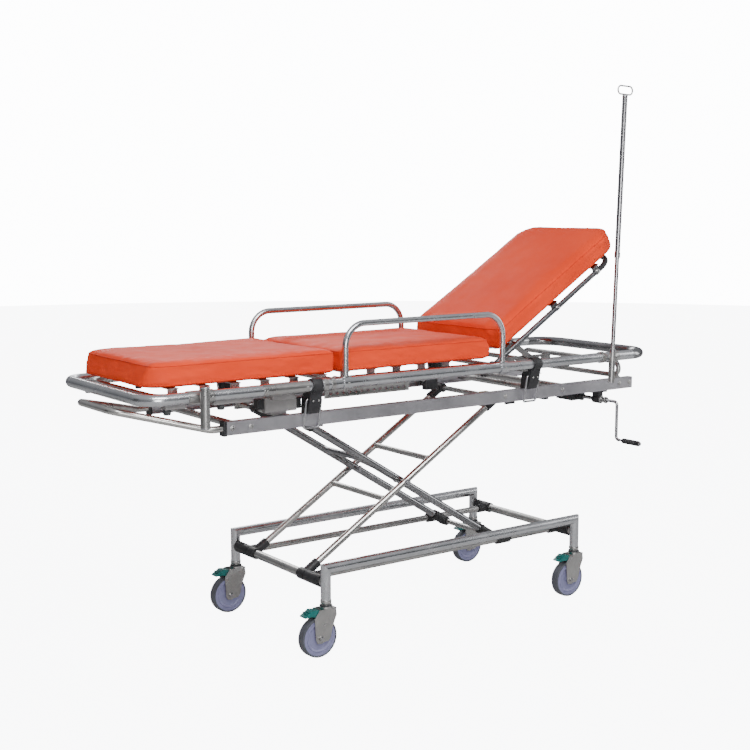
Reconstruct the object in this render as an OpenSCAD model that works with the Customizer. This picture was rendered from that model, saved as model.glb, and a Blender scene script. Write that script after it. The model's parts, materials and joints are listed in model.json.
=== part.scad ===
// Ambulance cot: a lift-off stretcher on a crank-driven scissor undercarriage.
// Origin on the floor below the centre of the wheeled base.
// +X points to the head end, -Y to the near (crank) side, +Z up. Millimetres.

/* [Base] */
// Distance between castor stems along the cot
wheelbase = 1050; // [1040:2:1060]
// Distance between castor stems across the cot
track = 544; // [540:2:548]
// Height of the base side rails
base_rail_z = 270; // [268:1:274]
// Height of the base crossbars and slide rails
crossbar_z = 225; // [223:1:228]
// Radius of the base side rails and posts
base_tube_r = 16; // [15.5:0.5:16.5]

/* [Castors] */
// Wheel radius over the tyre
wheel_r = 62.5; // [61:0.5:63]
// Distance of the wheel axle behind the stem
trail = 31; // [29:1:33]
// Width of the tyre
tyre_w = 30; // [28:1:31]

/* [Scissor] */
// Angle of the scissor legs above level
leg_angle = 31.67; // [31:0.01:32]
// Distance between a leg's two end pivots
leg_len = 923.6; // [918:0.2:928]
// Distance of each outer leg from the centre plane
outer_leg_y = 152; // [152:1:153]
// Distance of each inner leg from the centre plane
inner_leg_y = 125; // [124:1:125]

/* [Undercarriage top] */
// Height of the middle of the side channels
channel_z = 728; // [727:1:730]
// Height of the side channels
channel_h = 40; // [39:1:41]
// Foot end of the side channels
channel_foot_x = -845; // [-850:1:-840]
// Head end of the side channels
channel_head_x = 828; // [822:1:834]

/* [Stretcher frame] */
// Foot end cross tube, centre line
frame_foot_x = -1110; // [-1114:1:-1106]
// Head end cross tube, centre line
frame_head_x = 888; // [884:1:892]
// Distance of each main tube from the centre plane
frame_y = 274; // [273:1:275]
// Height of the main tubes
frame_z = 833; // [832:1:834]
// Radius of the main tubes
frame_r = 17; // [16.5:0.5:17.5]

/* [Deck and pads] */
// Hinge line of the backrest along the cot
back_axis_x = 184; // [182:1:186]
// Angle of the backrest as stored
back_angle = 32; // [31:1:33]
// Hinge line of the leg section along the cot
knee_x = -449; // [-450:1:-447]
// Thickness of the three pads
pad_t = 70; // [69:1:71]
// Half width of the pads
pad_y = 238; // [234:1:239]

/* [Hidden] */
$fn = 48;

// Names for the two sides and the two ends
near = -1;
far = 1;
foot = -1;
head = 1;

// Base
half_base = wheelbase / 2;
half_track = track / 2;
tube_wall = 2;
post_foot_z = 164;
plug_h = 32;
stem_r = 8;
running_gap = 0.05;
crossbar_r = 14;
slide_rail_r = 11;
slide_rail_y = 190;
tee_wall = 4.5;

// Castors
fork_top_z = 159.6;
crown_z = 146;
cheek_in = tyre_w / 2 + 2;
cheek_t = 3;
axle_r = 4;
rim_r = wheel_r - 7;
pedal_pivot_x = -24;
pedal_pivot_z = 139;

// Scissor linkage
pivot_foot = [-half_base, 0, crossbar_z];
pivot_top = [-half_base, 0, crossbar_z + leg_len * sin(leg_angle)];
slide_x = -half_base + leg_len * cos(leg_angle);
shaft_z = pivot_top.z;
shaft_r = 9;
outer_leg_r = 11;
inner_leg_r = 12.5;
leg_start = 22;
tee_len = 58;
rung_r = 9.5;
rung_at = [0.40, 0.63];
brace_at = 0.33;
bolt_r = 5;

// Undercarriage top
channel_y = 247;
channel_d = 22;
channel_wall = 3;
channel_in = channel_y - channel_d;
cross_r = 11;
cross_tube_x = [-790, 430, 540];
hoop_x = 755;
hoop_r = 9;
hoop_h = 50;
loop_r = 10.5;
loop_end_x = -1140;
loop_end_y = 105;
loop_end_z = 790;
bolt_x = [-826, -764, 217, 480, 762, 812];

// Lift drive
screw_y = -92;
screw_z = 686;
screw_r = 6;
gear_x = 672;
crank_y = -322;
crank_drop = 133;
crank_shaft_r = 7;
grip_len = 90;

// Stretcher
bow_foot_bend = 60;
bow_head_bend = 100;
clamp_x = [-561, 321];
clamp_ring_r = 22;
bail_r = 3.5;
bail_y = 268;
bail_z = 792;
bail_half = 26;
deck_tube_r = 9;
axle_tube_r = 8;
leg_deck_y = 222;
seat_deck_y = 200;
slat_w = 30;
slat_pitch = 100;
pad_z = frame_z + 24;
pad_top = pad_z + pad_t;
leg_pad_foot_x = -1100;
leg_pad_corner = 85;
back_pad_corner = 80;
back_slats = [80, 330, 560];
// Distance of the seat pad's head end from the back hinge, and height over its underside
seat_head_end = [[-16, 0], [-8, 13], [-9, 35], [-26, pad_t]];
back_pad_start = [36, 76];
knee_gap = 24;
back_len = 715;
back_frame_len = 655;
stay_reach = 125;
stay_y = 190;
stay_slot_y = 176;
stay_steepest = 55;
slot_play = 10;
arm_x = [-451, 176];
arm_top_z = 1009;
arm_r = 9.5;
arm_bend = 70;
arm_collar_w = 30;
collar_r = 20.5;
pole_y = 302;
pole_x = 664;
pole_lean = 2;
pole_r = 7.5;
pole_top_z = 1240;
sleeve_r = 9.2;
sleeve_foot_z = 1180;
ring_z = 1750;
ring_wire_r = 3;
socket_x = -945;
socket_y = 305;
socket_r = 14;
socket_bore = 9.05;

// Straight solid rod of radius r between two points
module rod(a, b, r) {
    d = b - a;
    l = norm(d);
    translate(a)
        rotate([0, acos(d.z / l), atan2(d.y, d.x)])
            cylinder(h = l, r = r);
}

// Hollow tube between two points, open at both ends
module pipe(a, b, r, wall = tube_wall) {
    u = (b - a) / norm(b - a);
    difference() {
        rod(a, b, r);
        rod(a - u, b + u, r - wall);
    }
}

function unit(v) = v / norm(v);
function turn_angle(p, i) = acos(unit(p[i] - p[i - 1]) * unit(p[i + 1] - p[i]));
function cut_back(p, i, bend) =
    (i == 0 || i == len(p) - 1) ? 0 : bend * tan(turn_angle(p, i) / 2);

// Round bend at point p between travel directions u and v
module elbow(p, u, v, bend, r, wall) {
    a = acos(u * v);
    n = unit(cross(u, v));
    c = p + unit(v - u) * bend / cos(a / 2);
    e = cross(u, n);
    multmatrix([
        [e.x, u.x, n.x, c.x],
        [e.y, u.y, n.y, c.y],
        [e.z, u.z, n.z, c.z]
    ])
        rotate_extrude(angle = a)
            translate([bend, 0])
                difference() {
                    circle(r);
                    if (wall > 0) circle(r - wall);
                }
}

// Bent tube along the points p with round bends; wall = 0 makes it solid.
// seam leaves the straight lengths and the bends as separate solids end to end
module bent_tube(p, bend, r, wall = tube_wall, seam = 0) {
    for (i = [0 : len(p) - 2]) {
        u = unit(p[i + 1] - p[i]);
        a = p[i] + u * (cut_back(p, i, bend) + seam);
        b = p[i + 1] - u * (cut_back(p, i + 1, bend) + seam);
        if (norm(b - a) > 0.5) {
            if (wall > 0) pipe(a, b, r, wall);
            else rod(a, b, r);
        }
    }
    for (i = [1 : len(p) - 2])
        elbow(p[i], unit(p[i] - p[i - 1]), unit(p[i + 1] - p[i]), bend, r, wall);
}

// Local frames of the two scissor legs: X runs along the leg from its foot-end pivot
module outer_leg_frame() {
    translate(pivot_foot) rotate([0, -leg_angle, 0]) children();
}

module inner_leg_frame() {
    translate(pivot_top) rotate([0, leg_angle, 0]) children();
}

// Local frame of the backrest: X runs up the back from its hinge
module back_local() {
    translate([back_axis_x, 0, frame_z]) rotate([0, -back_angle, 0]) children();
}

// ---- Base ----

// One half of the side portal's outline, split along the mitres
module mitred_portal(y, r, low_z) {
    k = 60;
    x = half_base;
    z = base_rail_z;
    intersection() {
        rod([-x - k, y, z], [x + k, y, z], r);
        translate([0, y + k, 0]) rotate([90, 0, 0]) linear_extrude(2 * k)
            polygon([[-x - k, z + k], [x + k, z + k], [x - k, z - k], [-x + k, z - k]]);
    }
    for (s = [-1, 1])
        intersection() {
            rod([s * x, y, low_z], [s * x, y, z + k], r);
            translate([0, y + k, 0]) rotate([90, 0, 0]) linear_extrude(2 * k)
                polygon([[s * (x - k), z - k], [s * (x + k), z + k],
                         [s * (x + k), 0], [s * (x - k), 0]]);
        }
}

module base_sides() {
    color("silver")
        for (y = [-half_track, half_track])
            difference() {
                mitred_portal(y, base_tube_r, post_foot_z);
                mitred_portal(y, base_tube_r - tube_wall, post_foot_z + plug_h);
                for (x = [-half_base, half_base])
                    rod([x, y, post_foot_z - 1], [x, y, post_foot_z + plug_h + 1],
                        stem_r + running_gap);
            }
}

module crossbars() {
    color("silver")
        for (x = [-half_base, half_base])
            difference() {
                pipe([x, -half_track, crossbar_z], [x, half_track, crossbar_z], crossbar_r);
                for (y = [-half_track, half_track])
                    rod([x, y, post_foot_z], [x, y, base_rail_z], base_tube_r);
            }
}

module slide_rails() {
    color("silver")
        for (y = [-slide_rail_y, slide_rail_y])
            difference() {
                pipe([-half_base, y, crossbar_z], [half_base, y, crossbar_z], slide_rail_r);
                for (x = [-half_base, half_base])
                    rod([x, y - 30, crossbar_z], [x, y + 30, crossbar_z], crossbar_r);
            }
}

module rail_tees() {
    sleeve_in = 173;
    sleeve_out = 250;
    branch = 48;
    color([0.08, 0.08, 0.09])
        for (sx = [-1, 1], sy = [-1, 1]) {
            x = sx * half_base;
            y = sy * slide_rail_y;
            difference() {
                union() {
                    rod([x, sy * sleeve_in, crossbar_z], [x, sy * sleeve_out, crossbar_z],
                        crossbar_r + tee_wall);
                    rod([x, y, crossbar_z], [x - sx * branch, y, crossbar_z],
                        slide_rail_r + tee_wall);
                }
                rod([x, sy * (sleeve_in - 40), crossbar_z],
                    [x, sy * (sleeve_out + 40), crossbar_z], crossbar_r);
                rod([x, y, crossbar_z], [x - sx * (branch + 1), y, crossbar_z], slide_rail_r);
            }
        }
}

// ---- Castors ----

module castor_at(side, end) {
    translate([end * half_base, side * half_track, 0]) children();
}

// Pressed fork with its swivel head, stem, pedal pin and riveted axle
module fork(side, end) {
    color("gainsboro") castor_at(side, end) {
        for (s = [-1, 1])
            translate([0, s * (cheek_in + cheek_t / 2) + cheek_t / 2, 0])
                rotate([90, 0, 0])
                    linear_extrude(cheek_t)
                        union() {
                            polygon([[24, crown_z + 4], [27, 128], [12, 92], [5, wheel_r],
                                     [-4, 50], [-trail - 12, 47], [-trail - 18, 58],
                                     [-trail - 22, 126], [-34, crown_z + 4]]);
                            translate([-trail, wheel_r - 2]) circle(15);
                        }
        translate([-17, -cheek_in - cheek_t, crown_z])
            cube([43, 2 * (cheek_in + cheek_t), 4]);
        translate([0, 0, crown_z]) cylinder(h = 9, r = 20);
        translate([0, 0, crown_z + 9]) cylinder(h = fork_top_z - crown_z - 9, r = 15.5);
        translate([0, 0, crown_z])
            cylinder(h = post_foot_z + plug_h - 4 - crown_z, r = stem_r);
        rod([pedal_pivot_x, -cheek_in - 1, pedal_pivot_z],
            [pedal_pivot_x, cheek_in + 1, pedal_pivot_z], 3);
        rod([-trail, -cheek_in - cheek_t - 3, wheel_r],
            [-trail, cheek_in + cheek_t + 3, wheel_r], axle_r);
        for (s = [-1, 1])
            rod([-trail, s * (cheek_in + cheek_t), wheel_r],
                [-trail, s * (cheek_in + cheek_t + 4), wheel_r], 8);
    }
}

module wheel(side, end) {
    web = 10.5;
    lip = 13.5;
    color([0.52, 0.52, 0.66]) castor_at(side, end)
        translate([-trail, 0, wheel_r]) rotate([90, 0, 0])
            rotate_extrude()
                polygon([[axle_r + running_gap, -15], [13, -15], [16, -web], [38, -web],
                         [42, -lip], [45, -lip], [46.2, -lip + 1.5], [47.4, -lip],
                         [rim_r, -lip], [rim_r, lip], [47.4, lip], [46.2, lip - 1.5],
                         [45, lip], [42, lip], [38, web], [16, web], [13, 15],
                         [axle_r + running_gap, 15]]);
}

module tyre(side, end) {
    h = tyre_w / 2;
    color([0.32, 0.34, 0.36]) castor_at(side, end)
        translate([-trail, 0, wheel_r]) rotate([90, 0, 0])
            rotate_extrude()
                polygon([[rim_r, -13.5], [rim_r + 1.5, -h], [wheel_r - 2.5, -h],
                         [wheel_r - 0.7, -h + 2], [wheel_r, -h + 6], [wheel_r, h - 6],
                         [wheel_r - 0.7, h - 2], [wheel_r - 2.5, h], [rim_r + 1.5, h],
                         [rim_r, 13.5]]);
}

module pedal(side, end) {
    half_w = cheek_in - 1;
    color([0.0, 0.5, 0.45]) castor_at(side, end)
        difference() {
            translate([0, half_w, 0]) rotate([90, 0, 0]) linear_extrude(2 * half_w)
                polygon([[pedal_pivot_x + 4, 143], [pedal_pivot_x - 4, 146], [-44, 150],
                         [-58, 152], [-66, 146], [-84, 136], [-85, 132], [-60, 133],
                         [-40, 129], [pedal_pivot_x + 2, 134]]);
            rod([pedal_pivot_x, -30, pedal_pivot_z], [pedal_pivot_x, 30, pedal_pivot_z],
                3 + running_gap);
        }
}

// ---- Scissor ----

// Black tee on a leg's end: a sleeve on the cross shaft and a socket on the leg tube
module leg_tee(x, y, way, half_w, hub_r, bore_r, tube_r) {
    difference() {
        union() {
            rod([x, y - half_w, 0], [x, y + half_w, 0], hub_r);
            rod([x, y, 0], [x + way * tee_len, y, 0], tube_r + tee_wall);
        }
        rod([x, y - half_w - 40, 0], [x, y + half_w + 40, 0], bore_r);
        rod([x + way * leg_start, y, 0], [x + way * (tee_len + 1), y, 0], tube_r);
    }
}

// Outer legs: two tubes welded to two rungs
module outer_legs() {
    color("whitesmoke") outer_leg_frame() {
        for (y = [-outer_leg_y, outer_leg_y])
            difference() {
                pipe([leg_start, y, 0], [leg_len - leg_start, y, 0], outer_leg_r, 1.5);
                rod([leg_len / 2, y - 30, 0], [leg_len / 2, y + 30, 0], bolt_r);
            }
        for (f = rung_at)
            difference() {
                pipe([f * leg_len, -outer_leg_y, 0], [f * leg_len, outer_leg_y, 0], rung_r, 1.5);
                for (y = [-outer_leg_y, outer_leg_y])
                    rod([f * leg_len - 30, y, 0], [f * leg_len + 30, y, 0], outer_leg_r - 0.5);
            }
    }
}

module outer_leg_tees() {
    color([0.08, 0.08, 0.09]) outer_leg_frame()
        for (y = [-outer_leg_y, outer_leg_y]) {
            leg_tee(0, y, 1, 19, crossbar_r + tee_wall, crossbar_r + running_gap, outer_leg_r);
            leg_tee(leg_len, y, -1, 19, shaft_r + 7, shaft_r + running_gap, outer_leg_r);
        }
}

// Pivot bolts where the legs cross, with a head outside and a nut inside
module crossing_bolts() {
    color("gainsboro") outer_leg_frame()
        for (s = [-1, 1]) {
            out = s * (outer_leg_y + outer_leg_r);
            rod([leg_len / 2, out, 0], [leg_len / 2, s * 103, 0], bolt_r);
            rod([leg_len / 2, out, 0], [leg_len / 2, out + s * 5, 0], 9);
            rod([leg_len / 2, s * 108, 0], [leg_len / 2, s * 103, 0], 9);
        }
}

module inner_legs() {
    color("darkgray") inner_leg_frame()
        for (y = [-inner_leg_y, inner_leg_y])
            difference() {
                pipe([leg_start, y, 0], [leg_len - leg_start, y, 0], inner_leg_r);
                rod([leg_len / 2, y - 30, 0], [leg_len / 2, y + 30, 0], bolt_r + running_gap);
            }
}

module inner_leg_tees() {
    color([0.08, 0.08, 0.09]) inner_leg_frame()
        for (y = [-inner_leg_y, inner_leg_y]) {
            leg_tee(0, y, 1, 16, shaft_r + 7, shaft_r + running_gap, inner_leg_r);
            leg_tee(leg_len, y, -1, 16, shaft_r + 7, shaft_r + running_gap, inner_leg_r);
        }
}

// Cross tube of the inner legs with two braces that run down to the legs
module inner_leg_bracing() {
    x = brace_at * leg_len;
    low_x = 0.455 * leg_len;
    color("dimgray") inner_leg_frame()
        difference() {
            union() {
                rod([x, -inner_leg_y, 0], [x, inner_leg_y, 0], rung_r);
                for (s = [-1, 1])
                    rod([x, s * 28, 0], [low_x, s * inner_leg_y, 0], 6);
            }
            for (y = [-inner_leg_y, inner_leg_y])
                rod([x - 80, y, 0], [low_x + 40, y, 0], inner_leg_r);
            for (s = [-1, 1])
                translate([x - 40, s * (inner_leg_y + 15) - 15, -15])
                    cube([low_x - x + 80, 30, 30]);
        }
}

// ---- Slides ----

module slide_shaft() {
    x = slide_x;
    color("silver")
        difference() {
            rod([x, -slide_rail_y, crossbar_z], [x, slide_rail_y, crossbar_z], shaft_r);
            for (y = [-slide_rail_y, slide_rail_y])
                rod([x - 40, y, crossbar_z], [x + 40, y, crossbar_z], slide_rail_r + 6);
        }
}

module slide_bushes() {
    color([0.08, 0.08, 0.09])
        for (y = [-slide_rail_y, slide_rail_y])
            pipe([slide_x - 28, y, crossbar_z], [slide_x + 28, y, crossbar_z],
                 slide_rail_r + 6, 6 - 0.3);
}

module top_shaft() {
    color("silver")
        rod([slide_x, -channel_in + 2, shaft_z], [slide_x, channel_in - 2, shaft_z], shaft_r);
}

// Blocks that run inside the side channels and carry the ends of the top shaft
module top_sliders() {
    lug_in = channel_in - 11;
    lug_out = channel_in - 1;
    shoe_out = channel_y - channel_wall - 0.5;
    shoe_h = channel_h - 2 * channel_wall - 1;
    color([0.1, 0.1, 0.11])
        for (s = [-1, 1])
            difference() {
                union() {
                    translate([slide_x - 20, min(s * lug_in, s * lug_out), shaft_z - 14])
                        cube([40, lug_out - lug_in, channel_z + shoe_h / 2 - shaft_z + 14]);
                    translate([slide_x - 20, min(s * lug_in, s * shoe_out),
                               channel_z - shoe_h / 2])
                        cube([40, shoe_out - lug_in, shoe_h]);
                }
                rod([slide_x, s * (lug_in - 5), shaft_z], [slide_x, s * (channel_in - 2), shaft_z],
                    shaft_r);
            }
}

// Nut block that ties the top shaft to the lead screw
module lift_nut() {
    color("goldenrod")
        difference() {
            translate([slide_x - 15, screw_y - 13, screw_z - 14])
                cube([30, 26, shaft_z + 14 - screw_z + 14]);
            rod([slide_x, screw_y - 30, shaft_z], [slide_x, screw_y + 30, shaft_z], shaft_r);
            rod([slide_x - 30, screw_y, screw_z], [slide_x + 30, screw_y, screw_z],
                screw_r + 0.3);
        }
}

// ---- Undercarriage top ----

module side_channels() {
    l = channel_head_x - channel_foot_x;
    color("lightgray")
        for (s = [-1, 1])
            difference() {
                translate([channel_foot_x, s * (channel_y - channel_d / 2) - channel_d / 2,
                           channel_z - channel_h / 2])
                    cube([l, channel_d, channel_h]);
                translate([channel_foot_x - 1,
                           s * (channel_in - 1 + (channel_d + 1 - channel_wall) / 2)
                               - (channel_d + 1 - channel_wall) / 2,
                           channel_z - channel_h / 2 + channel_wall])
                    cube([l + 2, channel_d + 1 - channel_wall, channel_h - 2 * channel_wall]);
                for (x = bolt_x)
                    rod([x, s * (channel_y - 10), channel_z], [x, s * (channel_y + 1), channel_z],
                        3);
            }
}

module channel_end_caps() {
    color([0.08, 0.08, 0.09])
        for (s = [-1, 1])
            translate([channel_foot_x - 11, s * (channel_y - channel_d / 2) - channel_d / 2 - 2,
                       channel_z - channel_h / 2 - 2])
                cube([11, channel_d + 4, channel_h + 4]);
}

module channel_bolts() {
    color("gainsboro")
        for (s = [-1, 1], x = bolt_x) {
            rod([x, s * (channel_y - channel_wall), channel_z], [x, s * channel_y, channel_z], 3);
            rod([x, s * channel_y, channel_z], [x, s * (channel_y + 3), channel_z], 6.5);
        }
}

// Cross tubes, the fixed pivot shaft of the inner legs and the hairpin hoop
module cross_tubes() {
    web = channel_y - channel_wall;
    hoop_y = channel_y - hoop_h / 2;
    low = channel_z + channel_h / 2 + hoop_r;
    color("silver") {
        for (x = cross_tube_x)
            pipe([x, -web, channel_z], [x, web, channel_z], cross_r);
        rod([pivot_top.x, -channel_in, shaft_z], [pivot_top.x, channel_in, shaft_z], shaft_r);
        for (z = [low, low + hoop_h])
            pipe([hoop_x, -hoop_y, z], [hoop_x, hoop_y, z], hoop_r);
        for (s = [-1, 1]) {
            translate([pivot_top.x - 25, s * (channel_in - 7) - 7, channel_z - 30])
                cube([50, 14, 50]);
            translate([hoop_x - 12, s * (channel_y - 12) - 8, channel_z + channel_h / 2])
                cube([24, 16, 8]);
            translate([hoop_x, s * hoop_y, low + hoop_h / 2]) rotate([90, 0, 90])
                rotate([0, 0, s > 0 ? -90 : 90])
                    rotate_extrude(angle = 180)
                        translate([hoop_h / 2, 0])
                            difference() {
                                circle(hoop_r);
                                circle(hoop_r - tube_wall);
                            }
        }
    }
}

// Pull handle at the foot end: narrows and rises away from the channels
module foot_loop() {
    y = channel_y - channel_d / 2;
    start = channel_foot_x - 11;
    color("whitesmoke")
        bent_tube([[start, -y, channel_z], [start - 35, -y, channel_z],
                   [loop_end_x, -loop_end_y, loop_end_z], [loop_end_x, loop_end_y, loop_end_z],
                   [start - 35, y, channel_z], [start, y, channel_z]],
                  45, loop_r, tube_wall, 0.02);
}

// Bevel gear housing under the near channel, and the lead screw's hanger
module gearbox() {
    shaft_at = screw_z - 8;
    under = channel_z - channel_h / 2;
    hang_x = cross_tube_x[2];
    color([0.1, 0.1, 0.11]) {
        difference() {
            union() {
                translate([gear_x - 32, screw_y - 40, screw_z - 23]) cube([64, 80, 40]);
                translate([gear_x - 32, -channel_y + 4, under - 6])
                    cube([64, channel_y - 4 + screw_y + 40, 6]);
                rod([gear_x, screw_y - 62, shaft_at], [gear_x, screw_y - 40, shaft_at], 15);
                rod([gear_x, -channel_y + 2, shaft_at], [gear_x, -channel_in + 12, shaft_at], 15);
                translate([gear_x - 11, -channel_y + 4, shaft_at])
                    cube([22, 30, under - 3 - shaft_at]);
            }
            rod([gear_x, -channel_y - 5, shaft_at], [gear_x, screw_y - 16, shaft_at],
                crank_shaft_r + running_gap);
            rod([gear_x - 60, screw_y, screw_z], [gear_x - 12, screw_y, screw_z],
                screw_r + running_gap);
        }
        difference() {
            translate([hang_x - 10, screw_y - 14, screw_z - 14])
                cube([20, 28, channel_z - screw_z + 8]);
            rod([hang_x - 20, screw_y, screw_z], [hang_x + 20, screw_y, screw_z],
                screw_r + running_gap);
            rod([hang_x, screw_y - 40, channel_z], [hang_x, screw_y + 40, channel_z], cross_r);
        }
    }
}

module lead_screw() {
    color("gainsboro") {
        rod([slide_x - 62, screw_y, screw_z], [gear_x - 14, screw_y, screw_z], screw_r);
        rod([gear_x - 46, screw_y, screw_z], [gear_x - 38, screw_y, screw_z], 12);
    }
}

// Crank: shaft, arm and grip spindle, bent from one rod
module crank() {
    z = screw_z - 8;
    low = z - crank_drop;
    bend = 12;
    color("silver") {
        rod([gear_x, screw_y - 18, z], [gear_x, -channel_y - 12, z], crank_shaft_r);
        bent_tube([[gear_x, -channel_y - 12, z], [gear_x, crank_y, z], [gear_x, crank_y, low],
                   [gear_x, crank_y - 14, low]], bend, 5.5, 0);
        rod([gear_x, crank_y - 14, low], [gear_x, crank_y - 18 - grip_len, low], 4);
        rod([gear_x, crank_y - 18 - grip_len, low], [gear_x, crank_y - 21 - grip_len, low], 6.5);
    }
}

module crank_grip() {
    low = screw_z - 8 - crank_drop;
    color([0.05, 0.05, 0.06])
        pipe([gear_x, crank_y - 32, low], [gear_x, crank_y - 17 - grip_len, low], 9.5,
             9.5 - 4 - running_gap);
}

// ---- Stretcher frame ----

module main_tubes() {
    color("gainsboro")
        for (y = [-frame_y, frame_y])
            pipe([frame_foot_x + bow_foot_bend, y, frame_z],
                 [frame_head_x - bow_head_bend, y, frame_z], frame_r);
}

// End bow of the main frame, between the two main tubes
module end_bow(x, bend) {
    start = x + (x < 0 ? bend : -bend);
    bent_tube([[start, -frame_y, frame_z], [x, -frame_y, frame_z],
               [x, frame_y, frame_z], [start, frame_y, frame_z]], bend, frame_r);
}

module foot_bow() {
    color("gainsboro") end_bow(frame_foot_x, bow_foot_bend);
}

module head_bow() {
    color("dimgray") end_bow(frame_head_x, bow_head_bend);
}

// Slip-on sleeves and stop rings on the main tubes
module frame_collars() {
    sleeves = [[-743, -589, 1.6], [-985, -905, 2.5], [-538, -522, 2.5], [-510, -496, 2.5],
               [628, 644, 3], [696, 712, 3]];
    color("silver")
        for (y = [-frame_y, frame_y], s = sleeves)
            pipe([s[0], y, frame_z], [s[1], y, frame_z], frame_r + s[2], s[2]);
}

// Black clamps that hold the main tubes and stand on the side channels
module clamp_saddles() {
    top = channel_z + channel_h / 2;
    color([0.06, 0.06, 0.07])
        for (x = clamp_x, s = [-1, 1])
            difference() {
                union() {
                    rod([x - 17, s * frame_y, frame_z], [x + 17, s * frame_y, frame_z],
                        clamp_ring_r);
                    translate([x - 21, 0, 0]) rotate([90, 0, 90]) linear_extrude(42)
                        polygon([[s * 228, top], [s * 262, top], [s * 275, top + 26],
                                 [s * 282, frame_z - 24],
                                 [s * 286, frame_z - 12], [s * 262, frame_z - 4],
                                 [s * 250, frame_z - 16], [s * 234, frame_z - 36]]);
                }
                rod([x - 40, s * frame_y, frame_z], [x + 40, s * frame_y, frame_z], frame_r);
                rod([x - 40, s * bail_y, bail_z], [x + 40, s * bail_y, bail_z],
                    bail_r + running_gap);
            }
}

// Wire bails pivoted in the clamps; their loops lie over the channels' lower edges
module bails(s) {
    low_y = channel_y + 4;
    low_z = channel_z - channel_h / 2 - 4;
    color("silver")
        for (x = clamp_x)
            bent_tube([[x - 12, s * bail_y, bail_z], [x - bail_half, s * bail_y, bail_z],
                       [x - bail_half, s * low_y, low_z], [x + bail_half, s * low_y, low_z],
                       [x + bail_half, s * bail_y, bail_z], [x + 12, s * bail_y, bail_z]],
                      5, bail_r, 0, 0.02);
}

module bails_near() { bails(near); }
module bails_far() { bails(far); }

// ---- Deck ----

// Flat slats bent down onto two side tubes; top face at height top
module hat_slats(xs, y, top, axis_z) {
    wall = 4;
    for (x = xs)
        difference() {
            union() {
                translate([x - slat_w / 2, -y - 8, top - 3]) cube([slat_w, 2 * y + 16, 3]);
                for (s = [-1, 1])
                    translate([x - slat_w / 2, s * y - wall / 2, axis_z])
                        cube([slat_w, wall, top - 2 - axis_z]);
            }
            for (s = [-1, 1])
                rod([x - slat_w, s * y, axis_z], [x + slat_w, s * y, axis_z], deck_tube_r - 1);
        }
}

// Lug that carries the end of a hinge axle beside an arm rail's collar
module hinge_lug(x, s) {
    side = arm_collar_w / 2 + 1;
    difference() {
        union() {
            translate([x - 10, s * 245 - 5, frame_z - 11]) cube([side + 34, 10, 22]);
            translate([x + side + 2, s * 252 - 12, frame_z - 11]) cube([22, 24, 22]);
        }
        rod([x - 40, s * frame_y, frame_z], [x + 80, s * frame_y, frame_z], frame_r);
    }
}

// Fixed part of the deck: hinge axles, seat frame, cross straps and stay tracks
module deck_frame() {
    strap_x = [277, 470];
    track_x = [262, 485];
    slot_x = [back_axis_x + 2 * stay_reach * cos(stay_steepest) - slot_play,
              back_axis_x + 2 * stay_reach + slot_play];
    color("gainsboro") {
        for (x = [knee_x, back_axis_x]) {
            rod([x, -248, frame_z], [x, 248, frame_z], axle_tube_r);
            for (s = [-1, 1]) hinge_lug(x, s);
        }
        for (s = [-1, 1])
            difference() {
                pipe([knee_x, s * seat_deck_y, frame_z], [back_axis_x, s * seat_deck_y, frame_z],
                     deck_tube_r);
                for (x = [knee_x, back_axis_x])
                    rod([x, s * seat_deck_y - 20, frame_z], [x, s * seat_deck_y + 20, frame_z],
                        axle_tube_r - 0.5);
            }
        hat_slats([knee_x + 45 : slat_pitch : 70], seat_deck_y, pad_z - 0.4, frame_z);
        difference() {
            for (x = strap_x)
                translate([x - 14, -frame_y, frame_z - frame_r - 5])
                    cube([28, 2 * frame_y, 6]);
            for (y = [-frame_y, frame_y])
                rod([-20, y, frame_z], [600, y, frame_z], frame_r);
        }
        for (s = [-1, 1])
            difference() {
                translate([track_x[0], s * stay_slot_y - 3, frame_z - frame_r - 2])
                    cube([track_x[1] - track_x[0], 6, 35]);
                translate([slot_x[0], s * stay_slot_y - 5, frame_z - 6.3])
                    cube([slot_x[1] - slot_x[0], 10, 12.6]);
            }
    }
}

// Backrest frame: bent tube on hinge eyes, slats and the stay's pivot pins
module back_frame() {
    color("silver") back_local() {
        difference() {
            union() {
                bent_tube([[10, -leg_deck_y, 0], [back_frame_len, -leg_deck_y, 0],
                           [back_frame_len, leg_deck_y, 0], [10, leg_deck_y, 0]],
                          70, deck_tube_r, 0);
                for (s = [-1, 1])
                    rod([0, s * leg_deck_y - 10, 0], [0, s * leg_deck_y + 10, 0], 14);
            }
            for (s = [-1, 1])
                rod([0, s * leg_deck_y - 20, 0], [0, s * leg_deck_y + 20, 0],
                    axle_tube_r + running_gap);
        }
        hat_slats(back_slats, leg_deck_y, pad_z - 0.4 - frame_z, 0);
        for (s = [-1, 1])
            rod([stay_reach, s * (leg_deck_y - deck_tube_r + 1), 0],
                [stay_reach, s * (stay_y - 6), 0], 6);
    }
}

// Backrest stay: two bars on a cross rod that runs in the tracks
module back_stay() {
    lift = stay_reach * sin(back_angle);
    reach = stay_reach * cos(back_angle);
    p = [back_axis_x + reach, 0, frame_z + lift];
    q = [back_axis_x + 2 * reach, 0, frame_z];
    color("gainsboro") {
        rod([q.x, -198, q.z], [q.x, 198, q.z], 6);
        for (s = [-1, 1])
            difference() {
                translate([p.x, s * stay_y, p.z]) rotate([0, back_angle, 0]) {
                    translate([0, -4, -9]) cube([stay_reach, 8, 18]);
                    rod([0, -4, 0], [0, 4, 0], 11);
                    rod([stay_reach, -4, 0], [stay_reach, 4, 0], 9);
                }
                rod([p.x, s * stay_y - 20, p.z], [p.x, s * stay_y + 20, p.z], 6 + running_gap);
            }
    }
}

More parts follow.
